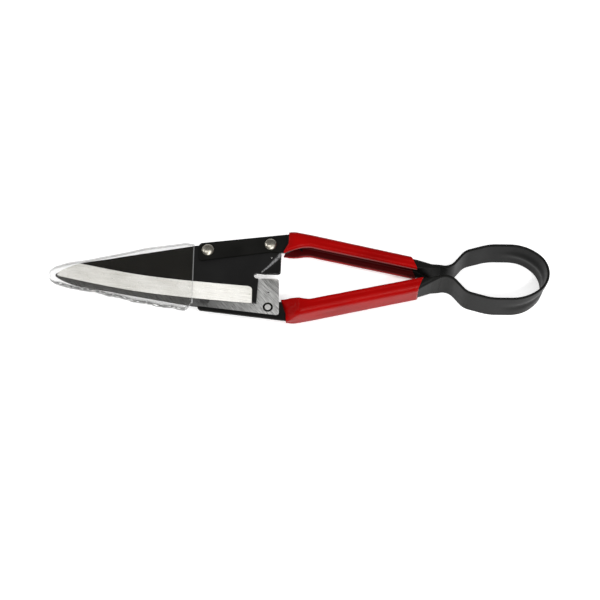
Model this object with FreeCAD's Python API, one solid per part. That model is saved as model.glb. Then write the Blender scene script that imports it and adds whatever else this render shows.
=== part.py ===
"""One-hand spring-bow grass shears with a clear slip-on blade guard.

Frame: +X runs from the blade tips to the spring bow, +Y is the side of the upper
arm, +Z is up.  The origin is the centre of the closed shears: the two blades meet
on the plane Z = 0 and the lower half is the upper half turned half a turn about X.
All lengths are millimetres.
"""
import math
import os

import FreeCAD
import Part

V = FreeCAD.Vector

# ---- strip steel -------------------------------------------------------------
STRIP_T = 1.6                 # thickness of the spring steel strip
BAND_W = 25.4                 # width of the strip in the bow
BLADE_T = 2.0                 # thickness of each blade
BLADE_GAP = 0.05              # each blade's clearance from the meeting plane Z = 0
JOIN_GAP = 0.05               # face to face clearance at each neck

# ---- spring bow (outside face of the strip) ------------------------------------
BOW_END_X = 167.2             # far end of the bow
BOW_HALF_Y = 20.4             # half the outside width of the bow
BOW_TIP_R = 17.0              # tighter radius at the far end
BOW_TIP_ANGLE = 48.0
BOW_SHOULDER_STRAIGHT = 8.6   # straight side after the rounded end
BOW_SIDE_R = 35.0             # slow bend into the waist side
BOW_SIDE_ANGLE = 16.0
BOW_SIDE_STRAIGHT = 8.7
BOW_HIP_R = 12.0               # convex hip bend
BOW_HIP_ANGLE = 34.0
BOW_HIP_STRAIGHT = 7.2
NECK_R = 8.5                  # concave neck bend
NECK_ANGLE = 64.0
NECK_STRAIGHT = 3.0
NECK_X = 94.6                 # plane where the bow meets the arms

# ---- handle channel --------------------------------------------------------------
CHANNEL_FRONT_X = 4.0         # first full section of the channel
CHANNEL_REAR_X = 80.0         # last full section of the channel
WEB_Y_FRONT = 28.4            # outer face of the web at the front
WEB_Y_REAR = 10.9             # outer face of the web at the rear
CHANNEL_HALF_H = 8.7
FLANGE_FRONT = 7.0            # depth of the flanges at the front
FLANGE_REAR = 6.3
CORNER_R = 2.6                # outside bend radius of the channel

# ---- mounting plate ----------------------------------------------------------------
PLATE_FRONT_X = -66.8
PLATE_FRONT_Y = (10.6, 23.4)  # inner and outer edge at the front end
PLATE_WAIST_X = -18.0
PLATE_WAIST_Y = 17.6
PLATE_REAR_X = -8.0
PLATE_REAR_Y = (16.8, 30.4)
STEP_START_X = -7.0           # where the plate begins to rise to the flange
STEP_END_X = 4.0

# ---- grips ---------------------------------------------------------------------------
GRIP_T = 1.2
GRIP_FRONT = {"upper": -6.2, "lower": -7.8}   # front edge on the outer side
GRIP_FRONT_LEAD = 3.0         # how far the inner corner reaches forward
GRIP_REAR = {"upper": 75.4, "lower": 79.6}    # rear edge on the outer side
GRIP_REAR_SLANT = 4.0         # the inner lip is longer than the outer face

# ---- blades ------------------------------------------------------------------------
TIP_X = -161.3
EDGE_POINTS = [(-160.6, -0.6), (-148.8, -3.2), (-109.9, -10.9), (-71.4, -15.7), (-27.6, -19.6)]
BACK_POINTS = [(-69.5, 22.0), (-119.9, 12.9), (-143.1, 8.7), (-156.5, 4.4), (-160.9, 1.9)]
HEEL_X = -26.6                # end of the cutting part
HEEL_TOP_Y = -1.8
SLOT_HALF = 1.7               # slot behind the cutting part: depth below its middle line
SLOT_TOP_Y = 2.5              # and its upper edge at the closed end
BACK_CORNER_R = 2.2           # rear back corner of the blade
SLOT_END_X = -29.5
LOBE_REAR_X = -11.2
LOBE_BOTTOM_Y = 0.9
BACK_REAR_Y = 28.8
BEVEL_WIDTH = 11.6
BEVEL_END_X = -30.6
BEVEL_CORNER_R = 2.4          # rounded inner corner where the bevel stops
EDGE_T = 0.25                 # thickness left at the cutting edge
FOLD_A = (-23.2, 2.6)         # ends of the bend line across the heel corner
FOLD_B = (-11.2, 15.0)
FOLD_ANGLE = 11.0
MARK_R = 0.65                 # small punched mark
LOWER_BLADE_SHIFT = (-1.3, -1.0)   # lower blade and rivets, seen from their own side
MARKS = {"upper": (-17.8, 14.0), "lower": (-19.6, 11.2)}

# ---- rivets ---------------------------------------------------------------------------
RIVET_AT = {"front": (-60.8, 18.2), "rear": (-18.6, 22.8)}
RIVET_HEAD_R = 4.3
RIVET_HEAD_H = 2.2
RIVET_SHANK_R = 2.5
RIVET_FLARE_R = 2.8           # flush end peened into the blade
COUNTERSINK_R = 3.25          # countersink around the flush end
RIVET_FLARE_H = 0.6
RIVET_FIT = 0.04              # radial clearance in the holes

# ---- blade guard ----------------------------------------------------------------------
GUARD_MOUTH_X = -70.0
GUARD_TIP_X = -167.4
GUARD_PROFILE = [(-76.0, 24.9), (-104.0, 20.3), (-131.0, 13.6), (-153.0, 9.3)]
GUARD_MOUTH_HALF = 23.6
GUARD_TIP_R = 6.2
GUARD_CORNER = 5.0            # rounded corner on the lower side of the mouth
GUARD_HALF_H = 3.5
GUARD_WALL = 0.8

BLADE_TOP = BLADE_GAP + BLADE_T
PLATE_TOP = BLADE_TOP + STRIP_T


def prism(points, z0, z1):
    """Straight prism over a closed outline of (x, y) points."""
    ring = [V(x, y, z0) for x, y in points]
    face = Part.Face(Part.makePolygon(ring + [ring[0]]))
    return face.extrude(V(0, 0, z1 - z0))


def spline(points, z=0.0):
    """Smooth edge through (x, y) points."""
    curve = Part.BSplineCurve()
    curve.interpolate([V(x, y, z) for x, y in points])
    return curve.toShape()


def line(a, b, z=0.0):
    """Straight edge between two (x, y) points."""
    return Part.makeLine(V(a[0], a[1], z), V(b[0], b[1], z))


def arc(a, m, b, z=0.0):
    """Circular edge from a to b through m, all (x, y) points."""
    return Part.Arc(V(a[0], a[1], z), V(m[0], m[1], z), V(b[0], b[1], z)).toShape()


def half_turn(shape):
    """The same shape turned half a turn about X (upper part to lower part)."""
    turned = shape.copy()
    turned.rotate(V(0, 0, 0), V(1, 0, 0), 180)
    return turned


# ---- spring bow --------------------------------------------------------------------------
def bow_path():
    """Bends of the upper half of the bow: (kind, outside radius, angle or length)."""
    shoulder_rise = BOW_HALF_Y - BOW_TIP_R * math.sin(math.radians(BOW_TIP_ANGLE))
    shoulder_r = shoulder_rise / (1.0 - math.sin(math.radians(BOW_TIP_ANGLE)))
    return [
        ("left", BOW_TIP_R, BOW_TIP_ANGLE),
        ("left", shoulder_r, 90.0 - BOW_TIP_ANGLE),
        ("line", BOW_SHOULDER_STRAIGHT),
        ("left", BOW_SIDE_R, BOW_SIDE_ANGLE),
        ("line", BOW_SIDE_STRAIGHT),
        ("left", BOW_HIP_R, BOW_HIP_ANGLE),
        ("line", BOW_HIP_STRAIGHT),
        ("right", NECK_R, NECK_ANGLE),
        ("line", NECK_STRAIGHT),
    ]


def offset_side(path, start, depth):
    """Edges of one face of the strip, `depth` inside the outer face.

    Returns the edges, the end point and the final heading in degrees.
    """
    x, y = start
    heading = 90.0
    edges = []
    for bend in path:
        if bend[0] == "line":
            nx = x + bend[1] * math.cos(math.radians(heading))
            ny = y + bend[1] * math.sin(math.radians(heading))
            edges.append(line((x, y), (nx, ny)))
            x, y = nx, ny
            continue
        turn = 1.0 if bend[0] == "left" else -1.0
        radius = bend[1] - depth * turn
        normal = math.radians(heading + 90.0 * turn)
        cx = x + radius * math.cos(normal)
        cy = y + radius * math.sin(normal)
        points = []
        for part in (0.5, 1.0):
            angle = normal + math.pi + math.radians(bend[2] * turn * part)
            points.append((cx + radius * math.cos(angle), cy + radius * math.sin(angle)))
        edges.append(arc((x, y), points[0], points[1]))
        x, y = points[1]
        heading += bend[2] * turn
    return edges, (x, y), heading


def make_bow():
    """Flat strip bent into the open bow loop, symmetric about the X axis."""
    path = bow_path()
    outer, outer_end, _ = offset_side(path, (BOW_END_X, 0.0), 0.0)
    inner, inner_end, _ = offset_side(path, (BOW_END_X - STRIP_T, 0.0), STRIP_T)
    seam = line((BOW_END_X - STRIP_T, 0.0), (BOW_END_X, 0.0))
    neck_end = line(outer_end, inner_end)
    wire = Part.Wire(Part.__sortEdges__([seam] + outer + [neck_end] + inner))
    face = Part.Face(wire)
    half = face.extrude(V(0, 0, BAND_W))
    half.translate(V(0, 0, -BAND_W / 2.0))
    bow = half.fuse(half_turn(half)).removeSplitter()
    beyond = Part.makeBox(40, 80, 80, V(NECK_X - 40, -40, -40))
    return bow.cut(beyond)


def neck_section():
    """Outer face and depth of the strip, both along Y, on the neck plane."""
    _, end, heading = offset_side(bow_path(), (BOW_END_X, 0.0), 0.0)
    slope = math.tan(math.radians(heading))
    return end[1] + (NECK_X - end[0]) * slope, STRIP_T / abs(math.cos(math.radians(heading)))


# ---- handle channel ------------------------------------------------------------------------
def web_y(x):
    """Outer face of the channel web at a given x."""
    slope = (WEB_Y_REAR - WEB_Y_FRONT) / (CHANNEL_REAR_X - CHANNEL_FRONT_X)
    return WEB_Y_FRONT + slope * (x - CHANNEL_FRONT_X)


def flange_depth(x):
    """Depth of the channel flanges at a given x."""
    slope = (FLANGE_REAR - FLANGE_FRONT) / (CHANNEL_REAR_X - CHANNEL_FRONT_X)
    return FLANGE_FRONT + slope * (x - CHANNEL_FRONT_X)


def section(x, y_in, y_out, z_bot, z_top, r_out, r_in):
    """Closed rounded rectangle across the handle at a given x."""
    def corner(y, z, sy, sz, r):
        k = r * (1.0 - math.sqrt(0.5))
        if sy * sz > 0:
            return [(y, z - sz * r), (y - sy * k, z - sz * k), (y - sy * r, z)]
        return [(y - sy * r, z), (y - sy * k, z - sz * k), (y, z - sz * r)]

    ring = []
    ring.append(corner(y_out, z_top, 1, 1, r_out))
    ring.append(corner(y_in, z_top, -1, 1, r_in))
    ring.append(corner(y_in, z_bot, -1, -1, r_in))
    ring.append(corner(y_out, z_bot, 1, -1, r_out))
    edges = []
    for i in range(4):
        a, m, b = ring[i]
        c = ring[(i + 1) % 4][0]
        edges.append(Part.Arc(V(x, *a), V(x, *m), V(x, *b)).toShape())
        edges.append(Part.makeLine(V(x, *b), V(x, *c)))
    return Part.Wire(edges)


def loft(sections):
    """Solid through a row of closed sections."""
    return Part.makeLoft([section(*s) for s in sections], True, True)


def channel():
    """Steel channel of the upper handle, from the plate step to the neck."""
    neck_y, neck_depth = neck_section()
    neck_x = NECK_X - JOIN_GAP
    half = BAND_W / 2.0
    fade_x = CHANNEL_REAR_X + 9.0
    fade_y = neck_y + (web_y(CHANNEL_REAR_X) - neck_y) * 0.30
    stations = [
        (CHANNEL_FRONT_X, web_y(CHANNEL_FRONT_X), FLANGE_FRONT, CHANNEL_HALF_H),
        (CHANNEL_REAR_X, web_y(CHANNEL_REAR_X), FLANGE_REAR, CHANNEL_HALF_H),
        (fade_x, fade_y, 3.0, CHANNEL_HALF_H + 2.6),
        (neck_x, neck_y, neck_depth, half),
    ]
    outer = []
    inner = []
    for x, y, depth, high in stations:
        bend = 0.7 if x == neck_x else min(CORNER_R, depth * 0.9)
        outer.append((x, y - depth, y, -high, high, bend, 0.2))
        hollow = max(0.3, bend - 1.0)
        wall = neck_depth if x == neck_x else STRIP_T
        inner.append((x, y - depth - 6.0, y - wall, -high + STRIP_T, high - STRIP_T, hollow, 0.2))
    first = stations[0]
    inner.insert(0, (first[0] - 1.0,) + inner[0][1:])
    last = inner[-1]
    inner.append((last[0] + 1.0,) + last[1:])
    return loft(outer).cut(loft(inner))


def plate_and_step(shift):
    """Flat mounting plate, the step up and the start of the top flange."""
    low = BLADE_TOP
    rise = CHANNEL_HALF_H - STRIP_T - low
    run = [
        (PLATE_FRONT_X - 5.0, low),
        (STEP_START_X, low),
        (STEP_END_X - 1.0, low + rise),
        (STEP_END_X + 3.0, low + rise),
        (STEP_END_X + 3.0, low + rise + STRIP_T),
        (STEP_END_X - 1.5, low + rise + STRIP_T),
        (STEP_START_X - 0.5, low + STRIP_T),
        (PLATE_FRONT_X - 5.0, low + STRIP_T),
    ]
    ring = [V(x, -5.0, z) for x, z in run]
    side = Part.Face(Part.makePolygon(ring + [ring[0]])).extrude(V(0, 60.0, 0))
    corner = 1.4
    top_y = web_y(CHANNEL_FRONT_X + 3.0)
    outline = [
        (PLATE_FRONT_X + corner, PLATE_FRONT_Y[1]),
        (PLATE_FRONT_X, PLATE_FRONT_Y[1] - corner),
        (PLATE_FRONT_X, PLATE_FRONT_Y[0] + corner),
        (PLATE_FRONT_X + corner, PLATE_FRONT_Y[0]),
        (PLATE_WAIST_X, PLATE_WAIST_Y),
        (PLATE_REAR_X, PLATE_REAR_Y[0]),
        (CHANNEL_FRONT_X, web_y(CHANNEL_FRONT_X) - FLANGE_FRONT),
        (CHANNEL_FRONT_X + 3.0, top_y - flange_depth(CHANNEL_FRONT_X + 3.0)),
        (CHANNEL_FRONT_X + 3.0, top_y - CORNER_R),
        (CHANNEL_FRONT_X, web_y(CHANNEL_FRONT_X) - CORNER_R),
        (CHANNEL_FRONT_X - 4.0, PLATE_REAR_Y[1] - 0.6),
        (PLATE_REAR_X, PLATE_REAR_Y[1]),
    ]
    plate = side.common(prism(outline, -20.0, 20.0))
    for x, y in rivet_spots(shift).values():
        plate = plate.cut(Part.makeCylinder(RIVET_SHANK_R + RIVET_FIT, 20, V(x, y, -10)))
    return plate


def front_web():
    """Web and lower flange growing out of the step in front of the channel."""
    x0 = STEP_START_X + 1.5
    x1 = CHANNEL_FRONT_X
    y0 = PLATE_REAR_Y[1] - 0.2
    y1 = web_y(x1)
    low0 = BLADE_TOP
    top0 = PLATE_TOP + 0.6
    high = CHANNEL_HALF_H
    outer = loft([
        (x0, y0 - 2.0, y0, low0, top0, 0.5, 0.2),
        (x1, y1 - FLANGE_FRONT, y1, -high, high, CORNER_R, 0.2),
    ])
    hollow_z0 = (low0 + top0) / 2.0
    inner = loft([
        (x0 - 0.5, y0 - 12.0, y0 - STRIP_T, hollow_z0 - 0.4, hollow_z0 + 0.4, 0.2, 0.2),
        (x1, y1 - FLANGE_FRONT - 6.0, y1 - STRIP_T, -high + STRIP_T, high - STRIP_T, 1.2, 0.2),
        (x1 + 0.5, y1 - FLANGE_FRONT - 6.0, y1 - STRIP_T, -high + STRIP_T, high - STRIP_T, 1.2, 0.2),
    ])
    return outer.cut(inner)


def make_arm(shift):
    """Whole upper arm: plate, step, channel handle and neck in one steel piece."""
    arm = channel().fuse([front_web(), plate_and_step(shift)])
    return arm.removeSplitter()


# ---- grips ------------------------------------------------------------------------------------
def grip_blank(front_x):
    """Outside of the sleeve and its hollow, before the steel is taken out."""
    g = GRIP_T
    high = CHANNEL_HALF_H + g
    x0 = front_x - 4.5
    xs = (CHANNEL_FRONT_X, CHANNEL_REAR_X + 8.0)
    outer = [(
        x0, PLATE_REAR_Y[0] - g - 0.4, PLATE_REAR_Y[1] + g - 0.5,
        BLADE_TOP - g, PLATE_TOP + g, 1.6, 1.6,
    )]
    outer.append((
        -3.2, PLATE_REAR_Y[0] - g + 0.9, PLATE_REAR_Y[1] + g,
        -3.6, PLATE_TOP + g + 1.6, 2.2, 1.6,
    ))
    inner = []
    t2 = STRIP_T + 2.0 * g
    inner.append((-5.4, 8.0, 22.0, 0.2, 1.0, 0.3, 0.2))
    for x in xs:
        y = web_y(x)
        depth = flange_depth(x)
        outer.append((x, y - depth - g, y + g, -high, high, CORNER_R + g, 1.7))
        inner.append((x, y - depth - g - 6.0, y - STRIP_T - g, -high + t2, high - t2, 1.4, 0.2))
    return loft(outer).cut(loft(inner))


def make_grip(arm, front_x, rear_x):
    """Soft sleeve over the channel, inside and out, with slanted ends."""
    body = grip_blank(front_x)
    front = [
        (front_x, 60.0),
        (front_x, 24.0),
        (front_x - GRIP_FRONT_LEAD, 14.0),
        (front_x - GRIP_FRONT_LEAD, -10.0),
        (-40.0, -10.0),
        (-40.0, 60.0),
    ]
    body = body.cut(prism(front, -30, 30))
    rear_y = web_y(rear_x) + GRIP_T
    rear_lip = rear_y - FLANGE_REAR - 2.0 * GRIP_T
    rear = [
        (rear_x - 1.6, rear_y + 20.0),
        (rear_x, rear_y),
        (rear_x + GRIP_REAR_SLANT, rear_lip),
        (rear_x + GRIP_REAR_SLANT + 1.0, rear_lip - 20.0),
        (120.0, rear_lip - 20.0),
        (120.0, rear_y + 20.0),
    ]
    body = body.cut(prism(rear, -30, 30))
    body = body.cut(arm)
    return max(body.Solids, key=lambda s: s.Volume)


# ---- blades -------------------------------------------------------------------------------------
def blade_outline():
    """Closed outline of the upper blade, cutting edge towards -Y."""
    z = BLADE_GAP
    heel_low = EDGE_POINTS[-1]
    slot_x = SLOT_END_X + SLOT_HALF
    s = SLOT_HALF
    r = 2.0
    lobe_low = (LOBE_REAR_X - r - 0.3, LOBE_BOTTOM_Y)
    lobe_mid = (LOBE_REAR_X - 0.85, LOBE_BOTTOM_Y + 0.6)
    lobe_side = (LOBE_REAR_X - 0.2, LOBE_BOTTOM_Y + r)
    c = BACK_CORNER_R
    slope = (BACK_POINTS[0][1] - BACK_REAR_Y) / (BACK_POINTS[0][0] - LOBE_REAR_X)
    back_side = (LOBE_REAR_X, BACK_REAR_Y - c)
    back_mid = (LOBE_REAR_X - 0.29 * c, BACK_REAR_Y - 0.29 * c * (1.0 + slope))
    back_rear = (LOBE_REAR_X - c, BACK_REAR_Y - c * slope)
    edges = [
        spline(EDGE_POINTS, z),
        line(heel_low, (HEEL_X, HEEL_TOP_Y), z),
        line((HEEL_X, HEEL_TOP_Y), (slot_x, -s), z),
        arc((slot_x, -s), (SLOT_END_X, 0.35), (slot_x, SLOT_TOP_Y), z),
        line((slot_x, SLOT_TOP_Y), lobe_low, z),
        arc(lobe_low, lobe_mid, lobe_side, z),
        line(lobe_side, back_side, z),
        arc(back_side, back_mid, back_rear, z),
        line(back_rear, BACK_POINTS[0], z),
        line(BACK_POINTS[0], BACK_POINTS[1], z),
        spline(BACK_POINTS[1:], z),
        arc(BACK_POINTS[-1], (TIP_X, 0.4), EDGE_POINTS[0], z),
    ]
    return Part.Wire(edges)


def bevel_cutter():
    """Everything above the ground bevel along the cutting edge."""
    slope = (BLADE_T - EDGE_T) / BEVEL_WIDTH
    points = [p for p in EDGE_POINTS[:-1]]
    points.insert(0, (-170.0, 3.2))
    points.append((BEVEL_END_X, EDGE_POINTS[-1][1] + (EDGE_POINTS[-1][0] - BEVEL_END_X) * 0.09))
    base = spline(points, BLADE_GAP + EDGE_T)
    base.translate(V(0, -2.0, -2.0 * slope))
    strip = base.extrude(V(0, BEVEL_WIDTH + 12.0, (BEVEL_WIDTH + 12.0) * slope))
    cutter = strip.extrude(V(0, 0, 6.0))
    r = BEVEL_CORNER_R
    top_y = points[-1][1] + BEVEL_WIDTH
    keep = Part.makeBox(r + 1.0, r + 1.0, 10.0, V(BEVEL_END_X - r, top_y - r, -5.0))
    keep = keep.cut(Part.makeCylinder(r, 10.0, V(BEVEL_END_X - r, top_y - r, -5.0)))
    return cutter.cut(keep)


def rivet_spots(shift):
    """Rivet centres of one arm, moved by `shift`."""
    return {name: (x + shift[0], y + shift[1]) for name, (x, y) in RIVET_AT.items()}


def make_blade(mark, shift):
    """Upper blade: ground bevel, slot, bent heel corner, rivet holes and mark."""
    blade = Part.Face(blade_outline()).extrude(V(0, 0, BLADE_T))
    corner = prism([FOLD_A, (-2.0, -6.0), FOLD_B], -2.0, 5.0)
    flap = blade.common(corner)
    blade = blade.cut(corner)
    axis = V(FOLD_B[0] - FOLD_A[0], FOLD_B[1] - FOLD_A[1], 0)
    flap.rotate(V(FOLD_A[0], FOLD_A[1], BLADE_GAP), axis, -FOLD_ANGLE)
    root = math.tan(math.radians(FOLD_ANGLE)) * BLADE_T
    wedge = Part.makePolygon([
        V(FOLD_A[0], FOLD_A[1], BLADE_GAP),
        V(FOLD_A[0], FOLD_A[1], BLADE_TOP),
        V(FOLD_A[0] - root * 0.7, FOLD_A[1] + root * 0.7, BLADE_TOP),
        V(FOLD_A[0], FOLD_A[1], BLADE_GAP),
    ])
    flap = flap.fuse(Part.Face(wedge).extrude(axis * 0.96)) if root > 0 else flap
    blade = blade.fuse(flap).removeSplitter()
    blade = blade.cut(bevel_cutter())
    blade.translate(V(shift[0], shift[1], 0))
    for x, y in rivet_spots(shift).values():
        blade = blade.cut(Part.makeCylinder(RIVET_SHANK_R + RIVET_FIT, 10, V(x, y, -5)))
        flare = Part.makeCone(
            COUNTERSINK_R, RIVET_SHANK_R + RIVET_FIT, RIVET_FLARE_H + 0.1, V(x, y, BLADE_GAP))
        blade = blade.cut(flare)
    blade = blade.cut(Part.makeCylinder(MARK_R, 10, V(mark[0], mark[1], -5)))
    return max(blade.Solids, key=lambda s: s.Volume)


# ---- rivets ---------------------------------------------------------------------------------------
def make_rivet(x, y):
    """Domed rivet through plate and blade, flush on the inner face of the blade."""
    ball_r = (RIVET_HEAD_R ** 2 + RIVET_HEAD_H ** 2) / (2.0 * RIVET_HEAD_H)
    ball = Part.makeSphere(ball_r, V(x, y, PLATE_TOP + RIVET_HEAD_H - ball_r))
    above = Part.makeBox(20, 20, 10, V(x - 10, y - 10, PLATE_TOP))
    head = ball.common(above)
    shank = Part.makeCylinder(RIVET_SHANK_R, PLATE_TOP + 0.4 - BLADE_GAP, V(x, y, BLADE_GAP))
    flare = Part.makeCone(RIVET_FLARE_R, RIVET_SHANK_R, RIVET_FLARE_H, V(x, y, BLADE_GAP))
    return head.fuse([shank, flare]).removeSplitter()


# ---- blade guard --------------------------------------------------------------------------------
def guard_outline(inset, mouth_x):
    """Outline of the guard, moved inwards by `inset`, open end at mouth_x."""
    side = [(x + 0.15 * inset, y - inset) for x, y in GUARD_PROFILE]
    tip_x = GUARD_TIP_X + inset
    r = GUARD_TIP_R - inset * 0.5
    nose = (tip_x + r * 0.42, r * 0.86)
    upper = [(mouth_x, GUARD_MOUTH_HALF - inset)] + side + [nose]
    lower = [(x, -y) for x, y in reversed(upper)]
    corner_in = (mouth_x, lower[-1][1] + GUARD_CORNER)
    corner_mid = (mouth_x - GUARD_CORNER * 0.3, lower[-1][1] + GUARD_CORNER * 0.26)
    edges = [
        line(upper[0], upper[1]),
        spline(upper[1:]),
        arc(upper[-1], (tip_x, 0.0), lower[0]),
        spline(lower[:-1]),
        arc(lower[-2], corner_mid, corner_in),
        line(corner_in, upper[0]),
    ]
    return Part.Wire(edges)


def make_guard():
    """Flat clear pouch, open towards the handles."""
    h = GUARD_HALF_H
    outer = Part.Face(guard_outline(0.0, GUARD_MOUTH_X)).extrude(V(0, 0, 2 * h))
    outer.translate(V(0, 0, -h))
    rims = []
    for edge in outer.Edges:
        box = edge.BoundBox
        if box.ZLength < 0.01 and box.XLength > 1.0:
            rims.append(edge)
    try:
        soft = outer.makeFillet(1.6, rims)
        if soft.isValid():
            outer = soft
    except Exception:
        pass
    hollow_h = h - GUARD_WALL
    inner = Part.Face(guard_outline(GUARD_WALL, GUARD_MOUTH_X + 2.0)).extrude(V(0, 0, 2 * hollow_h))
    inner.translate(V(0, 0, -hollow_h))
    return outer.cut(inner)


def main():
    aligned = (0.0, 0.0)
    upper_arm = make_arm(aligned)
    lower_arm = make_arm(LOWER_BLADE_SHIFT)
    upper_grip = make_grip(upper_arm, GRIP_FRONT["upper"], GRIP_REAR["upper"])
    lower_grip = make_grip(lower_arm, GRIP_FRONT["lower"], GRIP_REAR["lower"])
    nodes = {
        "spring_bow": make_bow(),
        "upper_arm": upper_arm,
        "lower_arm": half_turn(lower_arm),
        "upper_grip": upper_grip,
        "lower_grip": half_turn(lower_grip),
        "upper_blade": make_blade(MARKS["upper"], aligned),
        "lower_blade": half_turn(make_blade(MARKS["lower"], LOWER_BLADE_SHIFT)),
        "blade_guard": make_guard(),
    }
    for place, (x, y) in rivet_spots(aligned).items():
        nodes["upper_" + place + "_rivet"] = make_rivet(x, y)
    for place, (x, y) in rivet_spots(LOWER_BLADE_SHIFT).items():
        nodes["lower_" + place + "_rivet"] = half_turn(make_rivet(x, y))
    os.makedirs("parts", exist_ok=True)
    for name, shape in nodes.items():
        solids = shape.Solids
        print(name, "solids", len(solids), "valid", shape.isValid(), "volume", round(shape.Volume, 1))
        if len(solids) == 1:
            shape = solids[0]
        shape.exportStep("parts/" + name + ".step")


main()
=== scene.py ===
import math

import bmesh
import bpy
from mathutils import Matrix, Vector, noise


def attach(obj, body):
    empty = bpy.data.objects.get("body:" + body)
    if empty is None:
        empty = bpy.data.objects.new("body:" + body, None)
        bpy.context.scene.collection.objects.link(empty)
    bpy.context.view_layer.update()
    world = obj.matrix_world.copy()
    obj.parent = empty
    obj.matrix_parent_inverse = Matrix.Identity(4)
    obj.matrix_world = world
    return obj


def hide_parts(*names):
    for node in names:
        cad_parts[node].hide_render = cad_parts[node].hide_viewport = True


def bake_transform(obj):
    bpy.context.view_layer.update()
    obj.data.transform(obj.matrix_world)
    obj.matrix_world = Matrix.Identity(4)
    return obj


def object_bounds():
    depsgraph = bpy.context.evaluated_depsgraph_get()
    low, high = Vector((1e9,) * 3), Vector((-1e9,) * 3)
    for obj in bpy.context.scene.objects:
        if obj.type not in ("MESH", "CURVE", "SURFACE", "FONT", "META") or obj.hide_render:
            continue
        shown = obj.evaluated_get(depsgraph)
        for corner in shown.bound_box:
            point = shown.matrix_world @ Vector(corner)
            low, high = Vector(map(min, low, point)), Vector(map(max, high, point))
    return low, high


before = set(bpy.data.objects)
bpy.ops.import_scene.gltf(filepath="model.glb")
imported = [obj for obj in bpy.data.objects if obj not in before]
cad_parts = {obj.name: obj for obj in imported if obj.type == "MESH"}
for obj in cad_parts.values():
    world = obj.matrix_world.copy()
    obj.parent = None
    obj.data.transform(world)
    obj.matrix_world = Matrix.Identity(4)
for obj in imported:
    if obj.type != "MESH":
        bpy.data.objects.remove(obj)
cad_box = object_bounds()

MM = 0.001

# ---- sizes shared with the CAD part, in millimetres ------------------------------
STRIP_T = 1.6
BAND_W = 25.4
BOW_PATH = [
    ("left", 17.0, 48.0),
    ("left", 30.24, 42.0),
    ("line", 8.6),
    ("left", 35.0, 16.0),
    ("line", 8.7),
    ("left", 12.0, 34.0),
    ("line", 7.2),
    ("right", 8.5, 64.0),
    ("line", 3.0),
]
NECK_X = 94.65
BOW_END_X = 167.2
BOW_LEAN = 0.085              # how far the lower rim of the far end comes forward per mm of height
BOW_RIB = 0.85                # depth of the pressed rib at the far end
BOW_EDGE_R = 0.42             # rounding of the strip's edges
GRIP_T = 1.2
PLATE_TOP = 3.65
BLADE_GAP = 0.05


# ---- mesh helpers -------------------------------------------------------------------
def new_mesh(name, verts, faces, smooth_angle=40.0):
    """Object from points in millimetres, shaded smooth below the given angle."""
    mesh = bpy.data.meshes.new(name)
    mesh.from_pydata([(x * MM, y * MM, z * MM) for x, y, z in verts], [], faces)
    mesh.validate()
    bm = bmesh.new()
    bm.from_mesh(mesh)
    bmesh.ops.recalc_face_normals(bm, faces=bm.faces)
    bm.to_mesh(mesh)
    bm.free()
    mesh.polygons.foreach_set("use_smooth", [True] * len(mesh.polygons))
    mesh.set_sharp_from_angle(angle=math.radians(smooth_angle))
    obj = bpy.data.objects.new(name, mesh)
    bpy.context.scene.collection.objects.link(obj)
    return obj


def loft(name, rings, close_ends=(True, True), smooth_angle=40.0):
    """Skin over a row of closed rings with equal point counts."""
    n = len(rings[0])
    verts = [p for ring in rings for p in ring]
    faces = []
    for i in range(len(rings) - 1):
        a = i * n
        b = a + n
        for j in range(n):
            k = (j + 1) % n
            faces.append((a + j, a + k, b + k, b + j))
    if close_ends[0]:
        faces.append(tuple(range(n - 1, -1, -1)))
    if close_ends[1]:
        last = (len(rings) - 1) * n
        faces.append(tuple(range(last, last + n)))
    return new_mesh(name, verts, faces, smooth_angle)


def half_turn_points(rings):
    """The same rings turned half a turn about X, for the lower side."""
    return [[(x, -y, -z) for x, y, z in ring] for ring in rings]


def smooth(a, b, x):
    """Soft step from 0 at a to 1 at b."""
    t = max(0.0, min(1.0, (x - a) / (b - a)))
    return t * t * (3.0 - 2.0 * t)


def table(points, x):
    """Straight-line reading of y at x from a short list of (x, y)."""
    if x <= points[0][0]:
        return points[0][1]
    for (x0, y0), (x1, y1) in zip(points, points[1:]):
        if x <= x1:
            return y0 + (y1 - y0) * (x - x0) / (x1 - x0)
    return points[-1][1]


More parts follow.
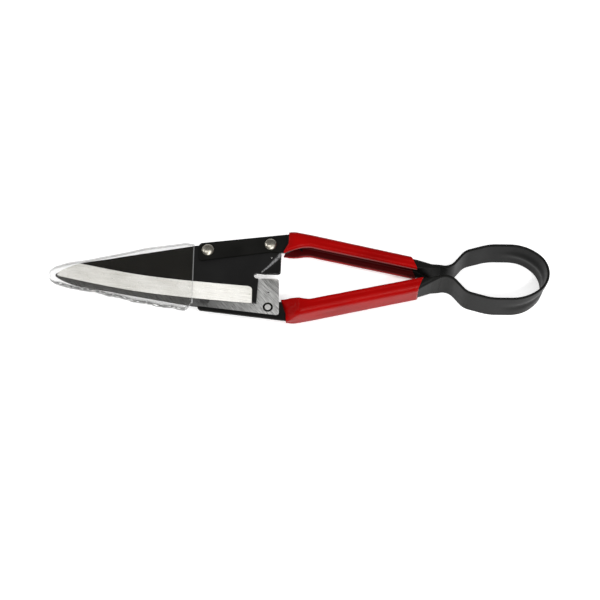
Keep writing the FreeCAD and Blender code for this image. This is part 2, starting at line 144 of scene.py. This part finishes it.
class Nodes:
    """Small wrapper that keeps material building readable."""

    def __init__(self, name):
        self.mat = bpy.data.materials.new(name)
        self.mat.use_nodes = True
        self.tree = self.mat.node_tree
        self.bsdf = self.tree.nodes["Principled BSDF"]

    def add(self, kind, **values):
        node = self.tree.nodes.new(kind)
        for key, value in values.items():
            setattr(node, key, value)
        return node

    def join(self, a, b):
        self.tree.links.new(a, b)

    def math(self, op, a, b=None, clamp=False):
        node = self.add("ShaderNodeMath", operation=op, use_clamp=clamp)
        for i, value in enumerate((a, b)):
            if value is None:
                continue
            if isinstance(value, (int, float)):
                node.inputs[i].default_value = value
            else:
                self.join(value, node.inputs[i])
        return node.outputs[0]

    def coords(self, rot=(0, 0, 0), scale=(1, 1, 1)):
        tex = self.add("ShaderNodeTexCoord")
        turned = self.add("ShaderNodeMapping")
        turned.inputs["Rotation"].default_value = [math.radians(r) for r in rot]
        self.join(tex.outputs["Object"], turned.inputs["Vector"])
        mapping = self.add("ShaderNodeMapping")
        mapping.inputs["Scale"].default_value = scale
        self.join(turned.outputs["Vector"], mapping.inputs["Vector"])
        return mapping.outputs["Vector"]

    def noise(self, vector, scale, detail=3.0, rough=0.5):
        node = self.add("ShaderNodeTexNoise")
        node.inputs["Scale"].default_value = scale
        node.inputs["Detail"].default_value = detail
        node.inputs["Roughness"].default_value = rough
        self.join(vector, node.inputs["Vector"])
        return node.outputs["Fac"]

    def ramp(self, fac, stops):
        node = self.add("ShaderNodeValToRGB")
        while len(node.color_ramp.elements) < len(stops):
            node.color_ramp.elements.new(0.5)
        for element, (pos, color) in zip(node.color_ramp.elements, stops):
            element.position = pos
            element.color = (*color, 1.0)
        self.join(fac, node.inputs["Fac"])
        return node.outputs["Color"]

    def mix(self, fac, a, b):
        node = self.add("ShaderNodeMix", data_type="RGBA")
        for socket, value in ((node.inputs[0], fac), (node.inputs[6], a), (node.inputs[7], b)):
            if isinstance(value, tuple):
                socket.default_value = (*value, 1.0)
            elif isinstance(value, (int, float)):
                socket.default_value = value
            else:
                self.join(value, socket)
        return node.outputs[2]

    def span(self, value, a, b, lo=0.0, hi=1.0):
        node = self.add("ShaderNodeMapRange")
        self.join(value, node.inputs[0])
        for i, number in enumerate((a, b, lo, hi)):
            node.inputs[i + 1].default_value = number
        return node.outputs[0]

    def bump(self, height, strength, distance):
        node = self.add("ShaderNodeBump")
        node.inputs["Strength"].default_value = strength
        node.inputs["Distance"].default_value = distance
        self.join(height, node.inputs["Height"])
        self.join(node.outputs["Normal"], self.bsdf.inputs["Normal"])
        return node


# ---- materials --------------------------------------------------------------------------
def black_steel():
    """Satin black coating, deep black at the plates and a touch greyer on the bow, a painted lightening for the
    brighter light on the bow.
    """
    n = Nodes("spring_steel_black_satin")
    where = n.add("ShaderNodeSeparateXYZ")
    n.join(n.add("ShaderNodeTexCoord").outputs["Object"], where.inputs[0])
    fine = n.noise(n.coords(), 1500.0, 4.0, 0.6)
    broad = n.noise(n.coords(), 60.0, 3.0)
    plate = n.ramp(broad, [(0.3, (0.0055, 0.0055, 0.0050)), (0.75, (0.0090, 0.0090, 0.0082))])
    bow = n.ramp(broad, [(0.3, (0.0050, 0.0050, 0.0048)), (0.75, (0.0095, 0.0095, 0.0091))])
    # painted light: mixing to the bow's ramp along X lightens the bow for its brighter light
    n.join(n.mix(n.span(where.outputs["X"], 0.085, 0.125), plate, bow), n.bsdf.inputs["Base Color"])
    n.join(n.span(n.math("ADD", fine, broad), 0.6, 1.4, 0.32, 0.46), n.bsdf.inputs["Roughness"])
    n.bsdf.inputs["Specular IOR Level"].default_value = 0.06
    n.bump(fine, 0.12, 0.0002)
    return n.mat


def blade_steel():
    """Black-coated outer face, bright ground bevel, ground inner face, painted highlight along the fold."""
    n = Nodes("blade_steel_ground")
    geo = n.add("ShaderNodeNewGeometry")
    where = n.add("ShaderNodeSeparateXYZ")
    n.join(n.add("ShaderNodeTexCoord").outputs["Object"], where.inputs[0])
    facing = n.add("ShaderNodeSeparateXYZ")
    n.join(geo.outputs["True Normal"], facing.inputs[0])
    side = n.math("SIGN", where.outputs["Z"])
    outward = n.math("MULTIPLY", facing.outputs["Z"], side)
    tilt = n.math("ABSOLUTE", facing.outputs["Y"])
    skew = n.math("ABSOLUTE", facing.outputs["X"])
    inner = n.math("LESS_THAN", outward, -0.5)
    bevel = n.math("MULTIPLY", n.math("GREATER_THAN", outward, 0.5), n.math("GREATER_THAN", tilt, 0.06))
    bevel = n.math("MULTIPLY", bevel, n.math("LESS_THAN", skew, 0.08))
    # painted highlight: a bright metallic band along the fold across the heel corner
    y_own = n.math("MULTIPLY", where.outputs["Y"], side)
    along = n.math("SUBTRACT", where.outputs["X"], y_own)
    rise = n.math("SUBTRACT", y_own, 0.0085)
    bow_in = n.math("MULTIPLY", n.math("MULTIPLY", rise, rise), 16.0)
    fold = n.math("ABSOLUTE", n.math("ADD", n.math("ADD", along, 0.0268), bow_in))
    heel = n.math("GREATER_THAN", where.outputs["X"], -0.0245)
    patchy = n.noise(n.coords(scale=(1, 1, 1)), 700.0, 4.0, 0.7)
    reach = n.span(y_own, 0.002, 0.014, 0.0009, 0.0021)
    crease = n.math("SUBTRACT", 1.0, n.math("DIVIDE", fold, reach), clamp=True)
    crease = n.math("MULTIPLY", n.math("MULTIPLY", crease, heel), n.span(patchy, 0.38, 0.60, 0.05, 1.0))
    crease = n.math("MULTIPLY", crease, n.math("SUBTRACT", 1.0, inner))
    # grinding marks
    cross = n.noise(n.coords(rot=(0, 0, -38), scale=(1, 0.04, 1)), 4200.0, 2.0)
    cross2 = n.noise(n.coords(rot=(0, 0, -42), scale=(1, 0.03, 1)), 2400.0, 3.0)
    long = n.noise(n.coords(rot=(0, 0, 8), scale=(0.03, 1, 1)), 2200.0, 2.0)
    cloud = n.noise(n.coords(), 45.0, 3.0)
    # painted shade: the ground inner face is darkened towards the tip and under the guard
    darker = n.math("POWER", n.span(where.outputs["X"], -0.070, -0.024), 1.5)
    ground = n.ramp(n.math("MULTIPLY", n.math("ADD", cross, cross2), 0.5),
                    [(0.34, (0.46, 0.46, 0.45)), (0.5, (0.76, 0.76, 0.74)), (0.60, (0.97, 0.97, 0.95))])
    ground = n.mix(darker, n.mix(0.80, ground, (0.035, 0.035, 0.034)), ground)
    bright = n.ramp(n.math("MULTIPLY", n.math("ADD", long, cloud), 0.5),
                    [(0.34, (0.50, 0.49, 0.45)), (0.5, (0.63, 0.62, 0.585)), (0.66, (0.70, 0.69, 0.66))])
    coat = n.ramp(cloud, [(0.3, (0.0045, 0.0045, 0.0045)), (0.7, (0.008, 0.008, 0.0078))])
    color = n.mix(bevel, coat, bright)
    color = n.mix(inner, color, ground)
    # painted shade: a dark ring in the countersink round the rear rivet's flush end
    off_x = n.math("SUBTRACT", where.outputs["X"], n.span(side, -1.0, 1.0, -0.0199, -0.0186))
    off_y = n.math("SUBTRACT", y_own, n.span(side, -1.0, 1.0, 0.0218, 0.0228))
    off = n.math("ADD", n.math("MULTIPLY", off_x, off_x), n.math("MULTIPLY", off_y, off_y))
    ring = n.math("MULTIPLY", n.math("LESS_THAN", off, 0.00340 ** 2), n.math("LESS_THAN", outward, -0.3))
    color = n.mix(ring, color, (0.015, 0.014, 0.010))
    # painted highlight: the fold band takes a light metallic grey
    color = n.mix(crease, color, (0.46, 0.46, 0.47))
    n.join(color, n.bsdf.inputs["Base Color"])
    metal = n.math("ADD", n.math("ADD", bevel, inner), crease, clamp=True)
    n.join(metal, n.bsdf.inputs["Metallic"])
    bare_rough = n.span(cross, 0.3, 0.7, 0.24, 0.42)
    fine = n.noise(n.coords(), 1700.0, 3.0, 0.6)
    rough = n.add("ShaderNodeMix", data_type="FLOAT")
    n.join(metal, rough.inputs[0])
    n.join(n.span(fine, 0.3, 0.7, 0.34, 0.48), rough.inputs[2])
    n.join(bare_rough, rough.inputs[3])
    n.bsdf.inputs["Specular IOR Level"].default_value = 0.14
    n.join(rough.outputs[0], n.bsdf.inputs["Roughness"])
    n.bump(n.math("ADD", cross, fine), 0.10, 0.0002)
    return n.mat


def red_sleeve_inside_shaded():
    """The sleeve's skin inside the channel: the same vinyl, duller, and darker as painted shade."""
    n = Nodes("grip_red_vinyl_inside_painted_shade")
    drift = n.noise(n.coords(scale=(0.4, 1, 1)), 90.0, 3.0)
    n.join(n.ramp(drift, [(0.3, (0.040, 0.0005, 0.0008)), (0.7, (0.075, 0.0010, 0.0014))]),
           n.bsdf.inputs["Base Color"])
    n.bsdf.inputs["Roughness"].default_value = 0.45
    n.bsdf.inputs["Specular IOR Level"].default_value = 0.12
    n.bump(drift, 0.2, 0.0008)
    return n.mat


def red_sleeve():
    """Glossy red vinyl with faint drift in its colour."""
    n = Nodes("grip_red_vinyl")
    skin = n.noise(n.coords(), 900.0, 3.0, 0.55)
    drift = n.noise(n.coords(scale=(0.4, 1, 1)), 70.0, 3.0)
    color = n.ramp(drift, [(0.3, (0.22, 0.0012, 0.0012)), (0.55, (0.28, 0.0016, 0.0016)),
                           (0.75, (0.33, 0.002, 0.002))])
    n.join(color, n.bsdf.inputs["Base Color"])
    n.join(n.span(skin, 0.3, 0.7, 0.16, 0.22), n.bsdf.inputs["Roughness"])
    n.bsdf.inputs["Specular IOR Level"].default_value = 0.07
    n.bsdf.inputs["Specular Tint"].default_value = (1.0, 0.55, 0.50, 1.0)
    n.bump(n.math("ADD", drift, n.math("MULTIPLY", skin, 0.02)), 0.25, 0.0012)
    return n.mat


def nickel():
    """Worn nickel of the rivet domes."""
    n = Nodes("rivet_nickel_worn")
    spots = n.noise(n.coords(), 800.0, 4.0, 0.65)
    n.join(n.ramp(spots, [(0.3, (0.16, 0.145, 0.12)), (0.5, (0.34, 0.32, 0.27)), (0.7, (0.60, 0.58, 0.52))]),
           n.bsdf.inputs["Base Color"])
    n.bsdf.inputs["Metallic"].default_value = 1.0
    n.join(n.span(spots, 0.3, 0.7, 0.38, 0.20), n.bsdf.inputs["Roughness"])
    n.bump(spots, 0.15, 0.0003)
    return n.mat


def ground_end(name, low, high):
    """Flush rivet end ground level with the blade's inner face."""
    n = Nodes(name)
    marks = n.noise(n.coords(rot=(0, 0, -38), scale=(1, 0.04, 1)), 4200.0, 2.0)
    n.join(n.ramp(marks, [(0.34, (low, low, low * 0.97)), (0.62, (high, high, high * 0.97))]),
           n.bsdf.inputs["Base Color"])
    n.bsdf.inputs["Metallic"].default_value = 1.0
    n.bsdf.inputs["Roughness"].default_value = 0.36
    return n.mat


def clear_guard():
    """Clear film, faint and smoky face on; painted reflection in grey on the side walls and grazing rim,
    painted shade and glints as dark and white streaks on the lower wall, and a painted highlight as a pale band
    at the mouth.
    """
    n = Nodes("guard_clear_pvc")
    where = n.add("ShaderNodeSeparateXYZ")
    n.join(n.add("ShaderNodeTexCoord").outputs["Object"], where.inputs[0])
    facing = n.add("ShaderNodeSeparateXYZ")
    n.join(n.add("ShaderNodeNewGeometry").outputs["Normal"], facing.inputs[0])
    mist = n.noise(n.coords(), 120.0, 3.0)
    streak = n.noise(n.coords(rot=(0, 0, 14), scale=(0.35, 1, 1)), 1100.0, 3.0, 0.6)
    low_side = n.span(where.outputs["Y"], -0.002, -0.005)
    wall = n.span(n.math("ABSOLUTE", facing.outputs["Y"]), 0.30, 0.75)
    weight = n.add("ShaderNodeLayerWeight")
    weight.inputs["Blend"].default_value = 0.5
    rim = n.math("POWER", n.span(weight.outputs["Facing"], 0.10, 1.0), 1.4)
    film = n.span(mist, 0.35, 0.7, 0.035, 0.055)
    alpha = n.math("ADD", film, n.math("MULTIPLY", rim, 0.75))
    # painted shade and glints: the lower wall is made more opaque and coloured dark with white streaks
    low_wall = n.math("MULTIPLY", wall, low_side)
    alpha = n.math("ADD", alpha, n.math("MULTIPLY", low_wall, n.span(streak, 0.38, 0.60, 0.30, 0.80)))
    # painted highlight: a pale, more opaque band at the mouth's edge
    mouth = n.span(where.outputs["X"], -0.0710, -0.0704)
    alpha = n.math("ADD", alpha, n.math("MULTIPLY", mouth, 0.16), clamp=True)
    n.join(alpha, n.bsdf.inputs["Alpha"])
    painted_glint_streaks = n.ramp(streak, [(0.46, (0.015, 0.015, 0.013)), (0.55, (0.09, 0.09, 0.085)),
                              (0.62, (0.85, 0.85, 0.84))])
    # painted reflection: the side walls and the grazing rim are coloured grey
    color = n.mix(n.math("MAXIMUM", wall, rim), (0.045, 0.040, 0.024), (0.16, 0.165, 0.165))
    color = n.mix(low_wall, color, painted_glint_streaks)
    n.join(n.mix(mouth, color, (0.55, 0.56, 0.56)), n.bsdf.inputs["Base Color"])
    n.join(n.span(mist, 0.3, 0.7, 0.04, 0.10), n.bsdf.inputs["Roughness"])
    n.bsdf.inputs["IOR"].default_value = 1.5
    n.bsdf.inputs["Coat Weight"].default_value = 0.5
    n.bsdf.inputs["Coat Roughness"].default_value = 0.03
    n.bump(mist, 0.25, 0.0015)
    return n.mat


MAT_STEEL = black_steel()
MAT_BLADE = blade_steel()
MAT_GRIP = red_sleeve()
MAT_GRIP_INSIDE_SHADED = red_sleeve_inside_shaded()
MAT_RIVET = nickel()
# painted shade: the front rivets' flush ends take a dark copy of the ground finish
MAT_RIVET_FRONT_END = ground_end("rivet_end_painted_shade", 0.05, 0.13)
MAT_RIVET_REAR_END = ground_end("rivet_end_bright", 0.72, 0.95)
# painted shade: the groove ring round the rear rivets' flush ends takes a near-black copy of the ground finish
MAT_RIVET_GROOVE = ground_end("rivet_end_groove_painted_shade", 0.012, 0.02)
MAT_GUARD = clear_guard()


def finish_piece(obj, mat, slot, *nodes):
    """Give a piece its material and hide the CAD nodes it replaces; slot is not used."""
    obj.data.materials.clear()
    obj.data.materials.append(mat)
    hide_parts(*nodes)


# ---- spring bow: two halves that meet at the far end ------------------------------------
def bow_stations():
    """(x, y, heading, travel) along the middle of the strip, far end to neck."""
    x, y, heading, travel = BOW_END_X - STRIP_T / 2.0, 0.0, 90.0, 0.0
    out = [(x, y, heading, travel)]
    for bend in BOW_PATH:
        if bend[0] == "line":
            steps = max(2, int(bend[1] / 1.2))
            for _ in range(steps):
                x += bend[1] / steps * math.cos(math.radians(heading))
                y += bend[1] / steps * math.sin(math.radians(heading))
                travel += bend[1] / steps
                out.append((x, y, heading, travel))
            continue
        turn = 1.0 if bend[0] == "left" else -1.0
        radius = bend[1] - turn * STRIP_T / 2.0
        steps = max(6, int(bend[2] / 2.0))
        for _ in range(steps):
            step = bend[2] / steps
            chord = 2.0 * radius * math.sin(math.radians(step / 2.0))
            heading += turn * step / 2.0
            x += chord * math.cos(math.radians(heading))
            y += chord * math.sin(math.radians(heading))
            heading += turn * step / 2.0
            travel += chord
            out.append((x, y, heading, travel))
    return out


def bow_ring(x, y, heading, travel):
    """Rounded strip section; a shallow pressed rib fades out from the far end."""
    nx = math.sin(math.radians(heading))
    ny = -math.cos(math.radians(heading))
    rib = BOW_RIB * (1.0 - smooth(22.0, 44.0, travel))
    half_w = BAND_W / 2.0
    half_t = STRIP_T / 2.0
    r = BOW_EDGE_R
    profile = []
    rows = 22

    def corner(d, z, start):
        for a in (start, start + 22.5, start + 45.0, start + 67.5):
            profile.append((d + r * math.cos(math.radians(a)), z + r * math.sin(math.radians(a))))

    for i in range(rows + 1):
        profile.append((half_t, -half_w + r + (BAND_W - 2 * r) * i / rows))
    corner(half_t - r, half_w - r, 22.5)
    corner(-half_t + r, half_w - r, 90.0)
    for i in range(rows + 1):
        profile.append((-half_t, half_w - r - (BAND_W - 2 * r) * i / rows))
    corner(-half_t + r, -half_w + r, 202.5)
    corner(half_t - r, -half_w + r, 270.0)
    ring = []
    for d, z in profile:
        push = d - rib * math.exp(-((z / 3.4) ** 2))
        ring.append((x + nx * push, y + ny * push, z))
    return ring


def neck_ring(ring, heading):
    """The last section, slid along the strip onto the neck plane."""
    slope = math.tan(math.radians(heading))
    return [(NECK_X, y + (NECK_X - x) * slope, z) for x, y, z in ring]


def lean(rings):
    """The far end leans a little: its lower rim stands nearer than the upper."""
    out = []
    for ring in rings:
        out.append([(x - BOW_LEAN * (BAND_W / 2.0 - z) * smooth(146.0, 166.0, x), y, z) for x, y, z in ring])
    return out


stations = [s for s in bow_stations() if s[0] > NECK_X + 0.9]
bow_rings = [bow_ring(*s) for s in stations]
neck = stations[-1]
bow_rings.append(neck_ring(bow_rings[-1], neck[2]))
for side, rings in (("upper", bow_rings), ("lower", half_turn_points(bow_rings))):
    half = loft(side + "_bow_half", lean(rings), (False, True), 50.0)
    finish_piece(half, MAT_STEEL, "spring_steel_black", "spring_bow")
    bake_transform(half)


# ---- grips ------------------------------------------------------------------------------------
UPPER_LIP = [(-12.0, 13.8), (-8.0, 14.5), (-5.5, 15.2), (-2.5, 16.8), (1.1, 18.6), (3.8, 19.2), (7.2, 19.2)]
LOWER_LIP = [(-12.0, 15.0), (-8.0, 15.9), (-5.5, 16.5), (-2.5, 17.3), (1.1, 18.4), (3.8, 19.0), (7.2, 19.2)]


def web_y(x):
    """Outer face of the channel's web."""
    return 28.4 + (10.9 - 28.4) / 76.0 * (x - 4.0)


def grip_outer(x):
    """Outer face of the sleeve: flat at the front, then along the web, softly joined."""
    front = 31.75 + 0.05 * (x + 8.0)
    back = web_y(x) + GRIP_T
    k = 1.1
    return -k * math.log(math.exp(-front / k) + math.exp(-back / k)) + 0.02


def grip_lip(x, lip):
    """Inner lip of the sleeve, from its own points at the front to the flange's edge."""
    depth = 7.0 + (6.3 - 7.0) / 76.0 * (x - 4.0)
    rear = web_y(x) - depth - GRIP_T
    if x > 12.0:
        return rear
    front = table(lip, x)
    return front + (rear - front) * smooth(4.0, 12.0, x)


def grip_ring(u, front_x, rear_x, lip):
    """Section of the sleeve at travel u from 0 (front) to 1 (rear)."""
    x_mid = front_x + (rear_x - front_x) * u
    open_up = smooth(-10.0, 3.5, x_mid)
    z_top = 4.85 + 5.05 * smooth(-14.0, -0.5, x_mid)
    z_bot = 0.85 - 10.75 * smooth(-9.5, 2.0, x_mid)
    y_out = grip_outer(x_mid)
    y_lip = grip_lip(x_mid, lip)
    wall = 2.15 + 1.7 * open_up
    gap_top = max(z_top - wall, (z_top + z_bot) / 2.0 + 0.05)
    gap_bot = min(z_bot + wall, (z_top + z_bot) / 2.0 - 0.05)
    y_web = y_out - 4.0
    r_out = min(3.6, (z_top - z_bot) * 0.42)
    r_lip = min(1.5, wall * 0.48)
    pts = []

    def arc(cy, cz, r, a0, a1, count):
        for i in range(count + 1):
            a = math.radians(a0 + (a1 - a0) * i / count)
            pts.append((cy + r * math.cos(a), cz + r * math.sin(a)))

    def run(y0, z0, y1, z1, count):
        for i in range(1, count):
            pts.append((y0 + (y1 - y0) * i / count, z0 + (z1 - z0) * i / count))

    arc(y_lip + r_lip, z_top - r_lip, r_lip, 180, 90, 5)
    run(y_lip + r_lip, z_top, y_out - r_out, z_top, 10)
    arc(y_out - r_out, z_top - r_out, r_out, 90, 0, 8)
    run(y_out, z_top - r_out, y_out, z_bot + r_out, 7)
    arc(y_out - r_out, z_bot + r_out, r_out, 0, -90, 8)
    run(y_out - r_out, z_bot, y_lip + r_lip, z_bot, 10)
    arc(y_lip + r_lip, z_bot + r_lip, r_lip, -90, -180, 5)
    r_in = min(1.0, max(0.02, (gap_top - gap_bot) * 0.3))
    arc(y_lip + 0.6, gap_bot - 0.6 * min(1, wall), 0.6 * min(1, wall), 180, 90, 3)
    run(y_lip + 0.6, gap_bot, y_web - r_in, gap_bot, 5)
    arc(y_web - r_in, gap_bot + r_in, r_in, -90, 0, 4)
    run(y_web, gap_bot + r_in, y_web, gap_top - r_in, 5)
    arc(y_web - r_in, gap_top - r_in, r_in, 0, 90, 4)
    run(y_web - r_in, gap_top, y_lip + 0.6, gap_top, 5)
    arc(y_lip + 0.6, gap_top + 0.6 * min(1, wall), 0.6 * min(1, wall), -90, -180, 3)
    ring = []
    for y, z in pts:
        rel = max(0.0, min(1.0, (y_out - y) / (y_out - y_lip)))
        lead = -0.5 * rel - 3.0 * smooth(0.55, 1.0, rel)
        trail = 4.0 * rel
        x = x_mid + lead * (1.0 - smooth(0.0, 0.10, u)) + trail * smooth(0.86, 1.0, u)
        shift = (web_y(x) - web_y(x_mid)) * smooth(0.5, 0.7, u)
        soft = 0.16 * noise.noise(Vector((x * 0.09, y * 0.12, z * 0.12)))
        pucker = 0.22 * math.sin(z * 1.1 + 0.6) * (1.0 - smooth(0.0, 0.11, u))
        crease = 0.22 * math.exp(-(((rel - 0.62) / 0.10) ** 2)) * smooth(0.10, 0.3, u)
        wrinkle = 0.16 * math.sin((x + 1.3 * y) * 1.5) * (1.0 - smooth(0.02, 0.13, u))
        if abs(z) > 4.0:
            z -= math.copysign(crease + wrinkle * math.sin(math.pi * rel), z)
        centre_y = (y_out + y_lip) / 2.0
        dy = y - centre_y
        outward = math.copysign(min(1.0, abs(dy) / 4.0), dy)
        ring.append((x, y + shift + 0.6 * (soft + pucker) * outward, z))
    return ring


def grip_rings(front_x, rear_x, lip, count=110):
    """All sections of one sleeve, closer together at the front."""
    steps = [i / count for i in range(count + 1)]
    return [grip_ring(t * t * 0.35 + t * 0.65, front_x, rear_x, lip) for t in steps]


INSIDE_START = 55             # first point of the section that lies inside the channel
INSIDE_END = 82
for side, rings in (("upper", grip_rings(-6.2, 75.4, UPPER_LIP)),
                    ("lower", half_turn_points(grip_rings(-7.8, 79.6, LOWER_LIP)))):
    grip = loft(side + "_grip_sleeve", rings, (True, True), 60.0)
    finish_piece(grip, MAT_GRIP, "grip_red", side + "_grip")
    # painted shade: faces inside the channel take the darker copy of the vinyl
    grip.data.materials.append(MAT_GRIP_INSIDE_SHADED)
    count = len(rings[0])
    for face in grip.data.polygons:
        spots = [v % count for v in face.vertices]
        if len(spots) == 4 and min(spots) >= INSIDE_START and max(spots) <= INSIDE_END:
            face.material_index = 1
    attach(grip, side + "_arm")


# ---- rivets -------------------------------------------------------------------------------------
RIVET_POINTS = 48
RIVET_DOME_R = 4.28
RIVET_END_R = 2.0             # inner part of the flush end, bright on the rear rivets; the ring beyond it is painted in shade
LOWER_RIVET_SHIFT = (-1.3, -1.0)


def rivet_rings(x, y):
    """Lathe profile of a domed rivet with a faint flat on the crown."""
    profile = [(1.2, BLADE_GAP + 0.02), (2.05, BLADE_GAP + 0.03), (2.15, BLADE_GAP + 0.14),
               (2.78, BLADE_GAP + 0.2), (2.5, BLADE_GAP + 0.6), (2.5, PLATE_TOP),
               (4.15, PLATE_TOP + 0.01), (4.27, PLATE_TOP + 0.1), (RIVET_DOME_R, PLATE_TOP + 0.28)]
    for a in range(14, 88, 6):
        c, s = math.cos(math.radians(a)), math.sin(math.radians(a))
        profile.append((RIVET_DOME_R * c ** 0.85, PLATE_TOP + 0.1 + 2.02 * s ** 1.15))
    profile.append((0.05, PLATE_TOP + 2.12))
    turns = [math.tau * k / RIVET_POINTS for k in range(RIVET_POINTS)]
    return [[(x + r * math.cos(a), y + r * math.sin(a), z) for a in turns] for r, z in profile]


for place, x, y in (("front", -60.8, 18.2), ("rear", -18.6, 22.8)):
    for side in ("upper", "lower"):
        if side == "upper":
            rings = rivet_rings(x, y)
        else:
            rings = half_turn_points(rivet_rings(x + LOWER_RIVET_SHIFT[0], y + LOWER_RIVET_SHIFT[1]))
        rivet = loft(side + "_" + place + "_rivet_dome", rings, (True, True), 35.0)
        finish_piece(rivet, MAT_RIVET, "rivet_nickel", side + "_" + place + "_rivet")
        ends = (MAT_RIVET_REAR_END, MAT_RIVET_GROOVE)
        if place == "front":
            ends = (MAT_RIVET_FRONT_END, MAT_RIVET_FRONT_END)
        for mat in ends:
            rivet.data.materials.append(mat)
        hub = Vector(rings[0][0]) * 0.5 + Vector(rings[0][RIVET_POINTS // 2]) * 0.5
        for face in rivet.data.polygons:
            reach = (face.center / MM - hub).to_2d().length
            if abs(face.center.z) < 0.4 * MM:
                face.material_index = 1 if reach < RIVET_END_R else 2
        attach(rivet, side + "_arm")


# ---- blade guard ------------------------------------------------------------------------------------
GUARD_FILM = 0.75             # wall of the guard
GUARD_HALF = [(-167.4, 0.0), (-166.9, 2.4), (-165.6, 4.4), (-163.0, 6.1), (-153.0, 9.3), (-142.0, 11.2),
              (-131.0, 13.6), (-117.5, 17.1), (-104.0, 20.3), (-90.0, 22.9), (-76.0, 24.8), (-70.0, 23.7)]


def guard_half(x, side):
    """Half width of the guard; the lower side has a rounded mouth corner and a soft wave."""
    w = table(GUARD_HALF, x)
    if side < 0:
        wave = 1.0 + math.sin(x * 0.36) + 0.9 * noise.noise(Vector((x * 0.8, 0, 0)))
        w -= 4.6 * smooth(-75.5, -69.9, x) ** 1.5
        w -= 0.35 * wave * smooth(-160.0, -130.0, x) * (1.0 - smooth(-84.0, -78.0, x))
    else:
        w -= 0.18 * (1.0 + math.sin(x * 0.21 + 1.0)) * smooth(-160.0, -130.0, x)
    return w


def guard_ring(x, inset):
    """Flattened section of the guard at x, brought in by inset for its inner face."""
    up = max(0.25, guard_half(x, 1) - inset)
    down = max(0.25, guard_half(x, -1) - inset)
    high = (3.45 - inset) * (0.45 + 0.55 * smooth(-167.4, -159.0, x))
    ring = []
    for k in range(64):
        a = math.tau * k / 64
        c, s = math.cos(a), math.sin(a)
        y = (up if c > 0 else down) * math.copysign(abs(c) ** 0.55, c)
        z = high * math.copysign(abs(s) ** 0.5, s)
        ring.append((x, y, z))
    return ring


xs = [-167.35, -167.1, -166.6, -165.8, -164.6, -163.0, -161.0]
x = -158.5
while x < -70.5:
    xs.append(x)
    x += 1.6
xs.append(-70.0)
outer = [guard_ring(x, 0.0) for x in xs]
inner = [guard_ring(max(x, -166.2), GUARD_FILM) for x in reversed(xs)]
guard = loft("blade_guard_clear", outer + inner, (True, True), 60.0)
finish_piece(guard, MAT_GUARD, "guard_clear", "blade_guard")
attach(guard, "guard")


# ---- CAD nodes that stay: arms and blades --------------------------------------------------------
def dress(node, mat, width):
    """Better material and softened edges on a CAD node that stays."""
    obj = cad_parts[node]
    for slot in obj.material_slots:
        slot.material = mat
    soft = obj.modifiers.new("soft_edges", "BEVEL")
    soft.width = width
    soft.segments = 2
    soft.limit_method = "ANGLE"
    soft.angle_limit = math.radians(35.0)
    soft.harden_normals = False


for side in ("upper", "lower"):
    dress(side + "_arm", MAT_STEEL, 0.25 * MM)
    dress(side + "_blade", MAT_BLADE, 0.10 * MM)


# ---- stage and light --------------------------------------------------------------------------------
floor_z = cad_box[0][2] - 0.0002
verts = [(-3000, -3000, 0), (3000, -3000, 0), (3000, 3000, 0), (-3000, 3000, 0)]
floor = new_mesh("studio_floor", verts, [(0, 1, 2, 3)])
floor.location.z = floor_z
paper = Nodes("studio_paper")
paper.join(paper.ramp(paper.noise(paper.coords(), 3.0), [(0.3, (0.90, 0.90, 0.90)), (0.7, (0.92, 0.92, 0.92))]),
           paper.bsdf.inputs["Base Color"])
paper.bsdf.inputs["Roughness"].default_value = 0.9
paper.bsdf.inputs["Emission Color"].default_value = (1.0, 1.0, 1.0, 1.0)
paper.bsdf.inputs["Emission Strength"].default_value = 0.42
floor.data.materials.append(paper.mat)

world = bpy.data.worlds.new("studio")
bpy.context.scene.world = world
world.use_nodes = True
world.node_tree.nodes["Background"].inputs["Color"].default_value = (1.0, 1.0, 1.0, 1.0)
world.node_tree.nodes["Background"].inputs["Strength"].default_value = 0.28


def soft_light(name, place, size, power, shape_y=None):
    """Rectangular area light aimed at the origin."""
    data = bpy.data.lights.new(name, "AREA")
    data.shape = "RECTANGLE"
    data.size = size
    data.size_y = shape_y or size
    data.energy = power
    obj = bpy.data.objects.new(name, data)
    obj.location = place
    obj.rotation_euler = (Vector((0, 0, 0)) - Vector(place)).to_track_quat("-Z", "Y").to_euler()
    bpy.context.scene.collection.objects.link(obj)


soft_light("overhead", (0.0, -0.22, 1.6), 2.4, 16.0, 0.85)
soft_light("front", (0.3, -1.3, 0.9), 1.6, 9.0, 0.35)
soft_light("side", (-1.4, 0.3, 0.9), 0.8, 5.0, 0.4)
soft_light("glint_a", (0.22, -0.75, 1.05), 0.10, 3.0)
soft_light("glint_b", (0.42, -0.62, 1.05), 0.08, 2.2)

# ---- camera -----------------------------------------------------------------------------------------
ELEVATION = math.radians(65.5)
ROLL = 0.010
DISTANCE = 1.150
SEEN_WIDTH = 0.4023           # width of the view at the object's distance
AIM_RIGHT = 0.001341
AIM_UP = -0.01495215
SENSOR = 36.0
right = Vector((1.0, 0.0, 0.0))
up = Vector((0.0, math.sin(ELEVATION), math.cos(ELEVATION)))
back = Vector((0.0, -math.cos(ELEVATION), math.sin(ELEVATION)))
cam_right = math.cos(ROLL) * right + math.sin(ROLL) * up
cam_up = -math.sin(ROLL) * right + math.cos(ROLL) * up
place = cam_right * AIM_RIGHT + cam_up * AIM_UP + back * DISTANCE
cam_data = bpy.data.cameras.new("camera")
cam_data.lens = DISTANCE / SEEN_WIDTH * SENSOR
cam_data.sensor_width = SENSOR
camera = bpy.data.objects.new("camera", cam_data)
camera.matrix_world = Matrix((
    (cam_right.x, cam_up.x, back.x, place.x),
    (cam_right.y, cam_up.y, back.y, place.y),
    (cam_right.z, cam_up.z, back.z, place.z),
    (0.0, 0.0, 0.0, 1.0),
))
bpy.context.scene.collection.objects.link(camera)
bpy.context.scene.camera = camera
bpy.context.scene.view_settings.view_transform = "Standard"
